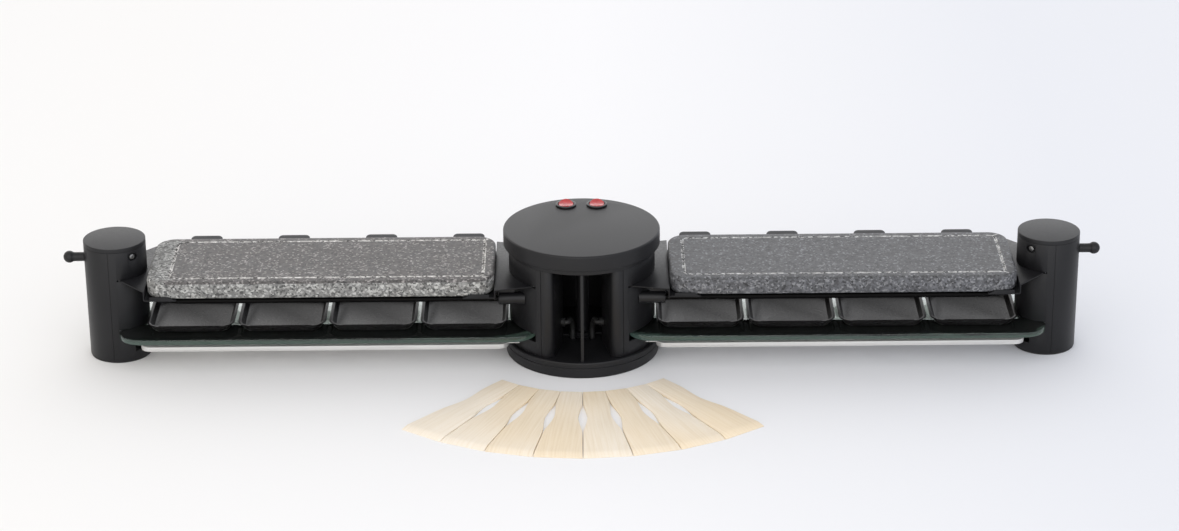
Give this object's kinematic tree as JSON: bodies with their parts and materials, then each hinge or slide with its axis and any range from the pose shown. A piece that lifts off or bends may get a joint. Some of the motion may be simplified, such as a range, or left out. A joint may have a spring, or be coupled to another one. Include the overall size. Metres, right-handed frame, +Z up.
{
  "type": "raclette grill",
  "caption": "Raclette grill: round switch hub with swivelling wings, each holding a granite cooking stone, a heater, pans on a glass shelf and an end post, with wooden spatulas.",
  "frame": {"origin": "on the table under the middle of the hub, on the axis that both wings swivel about", "axes": "+X along the right wing, +Y towards the pan handles and switches, +Z up"},
  "size_m": [1.14, 0.4309, 0.1488],
  "materials": {
    "satin_black_plastic": "satin",
    "black_rubber": "matt",
    "red_clear_plastic": "gloss, tinted and clear",
    "black_painted_steel": "satin paint",
    "heater_steel": "dulled by heat",
    "clear_glass": "clear, greenish at the edge",
    "bright_aluminium": "bright rolled sheet",
    "grey_cable_sheath": "matt",
    "honed_granite": "honed",
    "non_stick_coating": "smooth non-stick coating",
    "black_handle_plastic": "matt",
    "pale_beech": "planed, untreated"
  },
  "bodies": {
    "hub": {"base_tub": "satin_black_plastic", "hub_frame": "satin_black_plastic", "lid": "satin_black_plastic", "cord_gland": "black_rubber", "switch_bezel_left": "satin_black_plastic", "switch_bezel_right": "satin_black_plastic"},
    "switch_left": {"rocker_left": "red_clear_plastic"},
    "switch_right": {"rocker_right": "red_clear_plastic"},
    "wing_left": {"hub_housing_left": "satin_black_plastic", "housing_cover_left": "satin_black_plastic", "inner_bracket_left": "black_painted_steel", "outer_bracket_left": "black_painted_steel", "heater_left": "heater_steel", "glass_shelf_left": "clear_glass", "reflector_tray_left": "bright_aluminium", "post_inner_shell_left": "satin_black_plastic", "post_outer_shell_left": "satin_black_plastic", "post_cap_left": "satin_black_plastic", "post_foot_left": "black_rubber", "post_knob_left": "satin_black_plastic", "cable_left": "grey_cable_sheath"},
    "wing_right": {"hub_housing_right": "satin_black_plastic", "housing_cover_right": "satin_black_plastic", "inner_bracket_right": "black_painted_steel", "outer_bracket_right": "black_painted_steel", "heater_right": "heater_steel", "glass_shelf_right": "clear_glass", "reflector_tray_right": "bright_aluminium", "post_inner_shell_right": "satin_black_plastic", "post_outer_shell_right": "satin_black_plastic", "post_cap_right": "satin_black_plastic", "post_foot_right": "black_rubber", "post_knob_right": "satin_black_plastic", "cable_right": "grey_cable_sheath"},
    "loose_stone_left": {"stone_left": "honed_granite"},
    "loose_stone_right": {"stone_right": "honed_granite"},
    "loose_pan_left_1": {"pan_left_1": "non_stick_coating", "pan_handle_left_1": "black_handle_plastic"},
    "loose_pan_left_2": {"pan_left_2": "non_stick_coating", "pan_handle_left_2": "black_handle_plastic"},
    "loose_pan_left_3": {"pan_left_3": "non_stick_coating", "pan_handle_left_3": "black_handle_plastic"},
    "loose_pan_left_4": {"pan_left_4": "non_stick_coating", "pan_handle_left_4": "black_handle_plastic"},
    "loose_pan_right_1": {"pan_right_1": "non_stick_coating", "pan_handle_right_1": "black_handle_plastic"},
    "loose_pan_right_2": {"pan_right_2": "non_stick_coating", "pan_handle_right_2": "black_handle_plastic"},
    "loose_pan_right_3": {"pan_right_3": "non_stick_coating", "pan_handle_right_3": "black_handle_plastic"},
    "loose_pan_right_4": {"pan_right_4": "non_stick_coating", "pan_handle_right_4": "black_handle_plastic"},
    "loose_spatula_1": {"spatula_1": "pale_beech"},
    "loose_spatula_2": {"spatula_2": "pale_beech"},
    "loose_spatula_3": {"spatula_3": "pale_beech"},
    "loose_spatula_4": {"spatula_4": "pale_beech"},
    "loose_spatula_5": {"spatula_5": "pale_beech"},
    "loose_spatula_6": {"spatula_6": "pale_beech"},
    "loose_spatula_7": {"spatula_7": "pale_beech"},
    "loose_spatula_8": {"spatula_8": "pale_beech"}
  },
  "joints": [
    {"name": "wing_left_swivel", "type": "hinge", "parent": "hub", "child": "wing_left", "pos_m": [0, 0, 0], "axis": [0, 0, 1], "range_deg": [0, 20]},
    {"name": "wing_right_swivel", "type": "hinge", "parent": "hub", "child": "wing_right", "pos_m": [0, 0, 0], "axis": [0, 0, -1], "range_deg": [0, 20]},
    {"name": "switch_left_tip", "type": "hinge", "parent": "hub", "child": "switch_left", "pos_m": [-0.0172, 0.0638, 0.1452], "axis": [-1, 0, 0], "range_deg": [0, 14]},
    {"name": "switch_right_tip", "type": "hinge", "parent": "hub", "child": "switch_right", "pos_m": [0.0172, 0.0638, 0.1452], "axis": [-1, 0, 0], "range_deg": [0, 14]},
    {"name": "stone_left_lift", "type": "slide", "parent": "wing_left", "child": "loose_stone_left", "axis": [0, 0, 1], "range_m": [0, 0.12]},
    {"name": "stone_right_lift", "type": "slide", "parent": "wing_right", "child": "loose_stone_right", "axis": [0, 0, 1], "range_m": [0, 0.12]},
    {"name": "pan_left_1_slide", "type": "slide", "parent": "wing_left", "child": "loose_pan_left_1", "axis": [0, 1, 0], "range_m": [0, 0.15]},
    {"name": "pan_left_2_slide", "type": "slide", "parent": "wing_left", "child": "loose_pan_left_2", "axis": [0, 1, 0], "range_m": [0, 0.15]},
    {"name": "pan_left_3_slide", "type": "slide", "parent": "wing_left", "child": "loose_pan_left_3", "axis": [0, 1, 0], "range_m": [0, 0.15]},
    {"name": "pan_left_4_slide", "type": "slide", "parent": "wing_left", "child": "loose_pan_left_4", "axis": [0, 1, 0], "range_m": [0, 0.15]},
    {"name": "pan_right_1_slide", "type": "slide", "parent": "wing_right", "child": "loose_pan_right_1", "axis": [0, 1, 0], "range_m": [0, 0.15]},
    {"name": "pan_right_2_slide", "type": "slide", "parent": "wing_right", "child": "loose_pan_right_2", "axis": [0, 1, 0], "range_m": [0, 0.15]},
    {"name": "pan_right_3_slide", "type": "slide", "parent": "wing_right", "child": "loose_pan_right_3", "axis": [0, 1, 0], "range_m": [0, 0.15]},
    {"name": "pan_right_4_slide", "type": "slide", "parent": "wing_right", "child": "loose_pan_right_4", "axis": [0, 1, 0], "range_m": [0, 0.15]},
    {"name": "spatula_1_lift", "type": "slide", "parent": "hub", "child": "loose_spatula_1", "axis": [0, 0, 1], "range_m": [0, 0.12]},
    {"name": "spatula_2_lift", "type": "slide", "parent": "hub", "child": "loose_spatula_2", "axis": [0, 0, 1], "range_m": [0, 0.12]},
    {"name": "spatula_3_lift", "type": "slide", "parent": "hub", "child": "loose_spatula_3", "axis": [0, 0, 1], "range_m": [0, 0.12]},
    {"name": "spatula_4_lift", "type": "slide", "parent": "hub", "child": "loose_spatula_4", "axis": [0, 0, 1], "range_m": [0, 0.12]},
    {"name": "spatula_5_lift", "type": "slide", "parent": "hub", "child": "loose_spatula_5", "axis": [0, 0, 1], "range_m": [0, 0.12]},
    {"name": "spatula_6_lift", "type": "slide", "parent": "hub", "child": "loose_spatula_6", "axis": [0, 0, 1], "range_m": [0, 0.12]},
    {"name": "spatula_7_lift", "type": "slide", "parent": "hub", "child": "loose_spatula_7", "axis": [0, 0, 1], "range_m": [0, 0.12]},
    {"name": "spatula_8_lift", "type": "slide", "parent": "hub", "child": "loose_spatula_8", "axis": [0, 0, 1], "range_m": [0, 0.12]}
  ]
}
